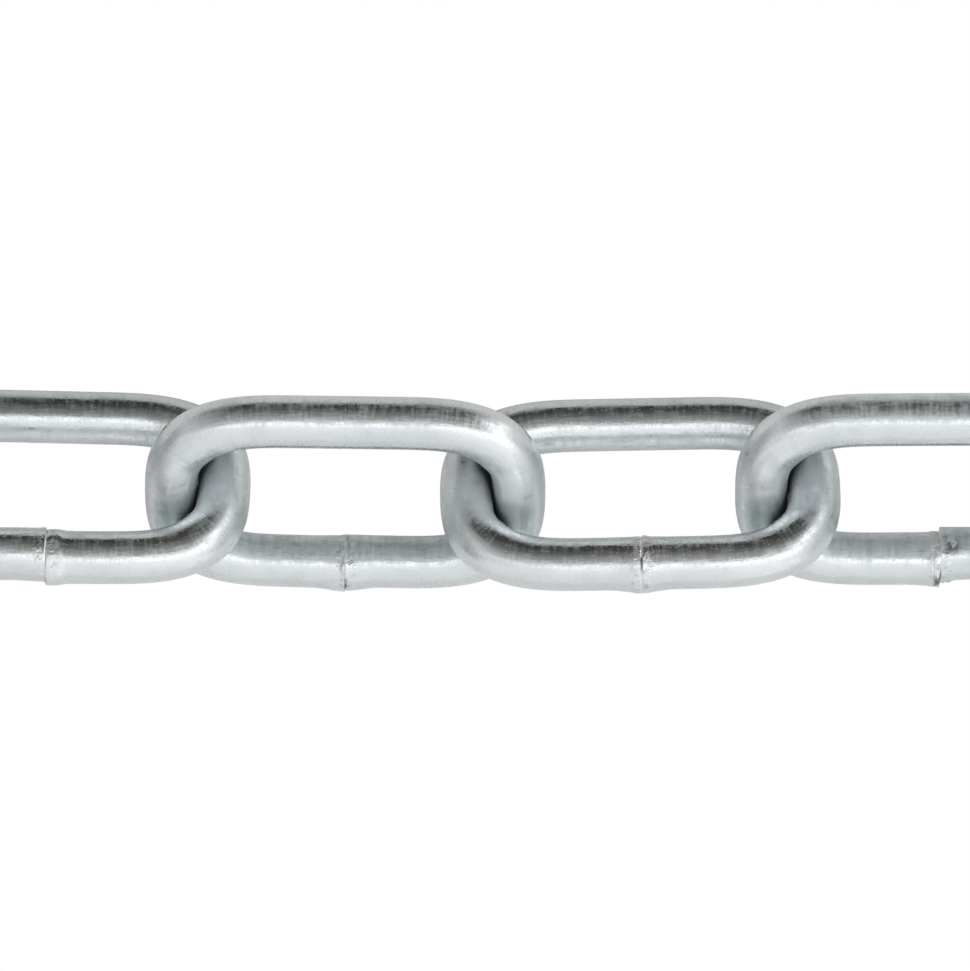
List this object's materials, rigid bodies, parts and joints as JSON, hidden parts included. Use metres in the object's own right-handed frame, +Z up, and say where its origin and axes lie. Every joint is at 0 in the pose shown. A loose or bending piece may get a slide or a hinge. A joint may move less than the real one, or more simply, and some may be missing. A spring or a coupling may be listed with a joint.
{
  "type": "long-link steel chain",
  "caption": "Straight run of bright zinc-plated steel chain: side-welded round-wire long links lying flat, leaning to alternate sides.",
  "frame": {"origin": "on the floor, under the middle of the run", "axes": "+X along the chain, +Y across it, away from the welded bars, +Z up from the floor it lies on"},
  "size_m": [1.0026, 0.0233, 0.0173],
  "materials": {
    "bright_zinc": "bright zinc plate over drawn steel wire"
  },
  "bodies": {
    "link_01": {"link_01": "bright_zinc"},
    "link_02": {"link_02": "bright_zinc"},
    "link_03": {"link_03": "bright_zinc"},
    "link_04": {"link_04": "bright_zinc"},
    "link_05": {"link_05": "bright_zinc"},
    "link_06": {"link_06": "bright_zinc"},
    "link_07": {"link_07": "bright_zinc"},
    "link_08": {"link_08": "bright_zinc"},
    "link_09": {"link_09": "bright_zinc"},
    "link_10": {"link_10": "bright_zinc"},
    "link_11": {"link_11": "bright_zinc"},
    "link_12": {"link_12": "bright_zinc"},
    "link_13": {"link_13": "bright_zinc"},
    "link_14": {"link_14": "bright_zinc"},
    "link_15": {"link_15": "bright_zinc"},
    "link_16": {"link_16": "bright_zinc"},
    "link_17": {"link_17": "bright_zinc"},
    "link_18": {"link_18": "bright_zinc"},
    "link_19": {"link_19": "bright_zinc"},
    "link_20": {"link_20": "bright_zinc"},
    "link_21": {"link_21": "bright_zinc"},
    "link_22": {"link_22": "bright_zinc"},
    "link_23": {"link_23": "bright_zinc"},
    "link_24": {"link_24": "bright_zinc"},
    "link_25": {"link_25": "bright_zinc"},
    "link_26": {"link_26": "bright_zinc"},
    "link_27": {"link_27": "bright_zinc"},
    "link_28": {"link_28": "bright_zinc"},
    "link_29": {"link_29": "bright_zinc"},
    "link_30": {"link_30": "bright_zinc"}
  },
  "joints": [
    {"name": "swing_01_02", "type": "hinge", "parent": "link_01", "child": "link_02", "pos_m": [-0.45875, 0.00037, 0.00874], "axis": [0.0105, 0.8089, 0.5878], "range_deg": [-90, 90]},
    {"name": "swing_02_03", "type": "hinge", "parent": "link_02", "child": "link_03", "pos_m": [-0.42576, -0.0005, 0.00859], "axis": [0.019, 0.8088, -0.5878], "range_deg": [-90, 90]},
    {"name": "swing_03_04", "type": "hinge", "parent": "link_03", "child": "link_04", "pos_m": [-0.39275, -0.00088, 0.00874], "axis": [-0.0089, -0.809, -0.5878], "range_deg": [-90, 90]},
    {"name": "swing_04_05", "type": "hinge", "parent": "link_04", "child": "link_05", "pos_m": [-0.35975, -0.0004, 0.00859], "axis": [0.01, -0.809, 0.5878], "range_deg": [-90, 90]},
    {"name": "swing_05_06", "type": "hinge", "parent": "link_05", "child": "link_06", "pos_m": [-0.32676, 0.00048, 0.00874], "axis": [-0.0191, 0.8088, 0.5878], "range_deg": [-90, 90]},
    {"name": "swing_06_07", "type": "hinge", "parent": "link_06", "child": "link_07", "pos_m": [-0.29375, 0.00088, 0.00859], "axis": [-0.0094, 0.809, -0.5878], "range_deg": [-90, 90]},
    {"name": "swing_07_08", "type": "hinge", "parent": "link_07", "child": "link_08", "pos_m": [-0.26075, 0.00042, 0.00874], "axis": [-0.0094, -0.809, -0.5878], "range_deg": [-90, 90]},
    {"name": "swing_08_09", "type": "hinge", "parent": "link_08", "child": "link_09", "pos_m": [-0.22776, -0.00045, 0.00859], "axis": [-0.0191, -0.8088, 0.5878], "range_deg": [-90, 90]},
    {"name": "swing_09_10", "type": "hinge", "parent": "link_09", "child": "link_10", "pos_m": [-0.19475, -0.00088, 0.00874], "axis": [0.01, 0.809, 0.5878], "range_deg": [-90, 90]},
    {"name": "swing_10_11", "type": "hinge", "parent": "link_10", "child": "link_11", "pos_m": [-0.16175, -0.00045, 0.00859], "axis": [-0.0089, 0.809, -0.5878], "range_deg": [-90, 90]},
    {"name": "swing_11_12", "type": "hinge", "parent": "link_11", "child": "link_12", "pos_m": [-0.12876, 0.00043, 0.00874], "axis": [0.019, -0.8088, -0.5878], "range_deg": [-90, 90]},
    {"name": "swing_12_13", "type": "hinge", "parent": "link_12", "child": "link_13", "pos_m": [-0.09575, 0.00088, 0.00859], "axis": [0.0105, -0.8089, 0.5878], "range_deg": [-90, 90]},
    {"name": "swing_13_14", "type": "hinge", "parent": "link_13", "child": "link_14", "pos_m": [-0.06275, 0.00047, 0.00874], "axis": [0.0084, 0.809, 0.5878], "range_deg": [-90, 90]},
    {"name": "swing_14_15", "type": "hinge", "parent": "link_14", "child": "link_15", "pos_m": [-0.02976, -0.0004, 0.00859], "axis": [0.019, 0.8088, -0.5878], "range_deg": [-90, 90]},
    {"name": "swing_15_16", "type": "hinge", "parent": "link_15", "child": "link_16", "pos_m": [0.00325, -0.00088, 0.00874], "axis": [-0.011, -0.8089, -0.5878], "range_deg": [-90, 90]},
    {"name": "swing_16_17", "type": "hinge", "parent": "link_16", "child": "link_17", "pos_m": [0.03625, -0.00049, 0.00859], "axis": [0.0078, -0.809, 0.5878], "range_deg": [-90, 90]},
    {"name": "swing_17_18", "type": "hinge", "parent": "link_17", "child": "link_18", "pos_m": [0.06924, 0.00038, 0.00874], "axis": [-0.0189, 0.8088, 0.5878], "range_deg": [-90, 90]},
    {"name": "swing_18_19", "type": "hinge", "parent": "link_18", "child": "link_19", "pos_m": [0.10225, 0.00088, 0.00859], "axis": [-0.0114, 0.8089, -0.5878], "range_deg": [-90, 90]},
    {"name": "swing_19_20", "type": "hinge", "parent": "link_19", "child": "link_20", "pos_m": [0.13525, 0.00051, 0.00874], "axis": [-0.0073, -0.809, -0.5878], "range_deg": [-90, 90]},
    {"name": "swing_20_21", "type": "hinge", "parent": "link_20", "child": "link_21", "pos_m": [0.16824, -0.00035, 0.00859], "axis": [-0.0189, -0.8088, 0.5878], "range_deg": [-90, 90]},
    {"name": "swing_21_22", "type": "hinge", "parent": "link_21", "child": "link_22", "pos_m": [0.20125, -0.00088, 0.00874], "axis": [0.0119, 0.8089, 0.5878], "range_deg": [-90, 90]},
    {"name": "swing_22_23", "type": "hinge", "parent": "link_22", "child": "link_23", "pos_m": [0.23425, -0.00054, 0.00859], "axis": [-0.0067, 0.809, -0.5878], "range_deg": [-90, 90]},
    {"name": "swing_23_24", "type": "hinge", "parent": "link_23", "child": "link_24", "pos_m": [0.26724, 0.00033, 0.00874], "axis": [0.0188, -0.8088, -0.5878], "range_deg": [-90, 90]},
    {"name": "swing_24_25", "type": "hinge", "parent": "link_24", "child": "link_25", "pos_m": [0.30025, 0.00087, 0.00859], "axis": [0.0124, -0.8089, 0.5878], "range_deg": [-90, 90]},
    {"name": "swing_25_26", "type": "hinge", "parent": "link_25", "child": "link_26", "pos_m": [0.33325, 0.00056, 0.00874], "axis": [0.0062, 0.809, 0.5878], "range_deg": [-90, 90]},
    {"name": "swing_26_27", "type": "hinge", "parent": "link_26", "child": "link_27", "pos_m": [0.36624, -0.0003, 0.00859], "axis": [0.0187, 0.8088, -0.5878], "range_deg": [-90, 90]},
    {"name": "swing_27_28", "type": "hinge", "parent": "link_27", "child": "link_28", "pos_m": [0.39925, -0.00087, 0.00874], "axis": [-0.0128, -0.8089, -0.5878], "range_deg": [-90, 90]},
    {"name": "swing_28_29", "type": "hinge", "parent": "link_28", "child": "link_29", "pos_m": [0.43225, -0.00058, 0.00859], "axis": [0.0056, -0.809, 0.5878], "range_deg": [-90, 90]},
    {"name": "swing_29_30", "type": "hinge", "parent": "link_29", "child": "link_30", "pos_m": [0.46524, 0.00028, 0.00874], "axis": [-0.0185, 0.8088, 0.5878], "range_deg": [-90, 90]}
  ]
}
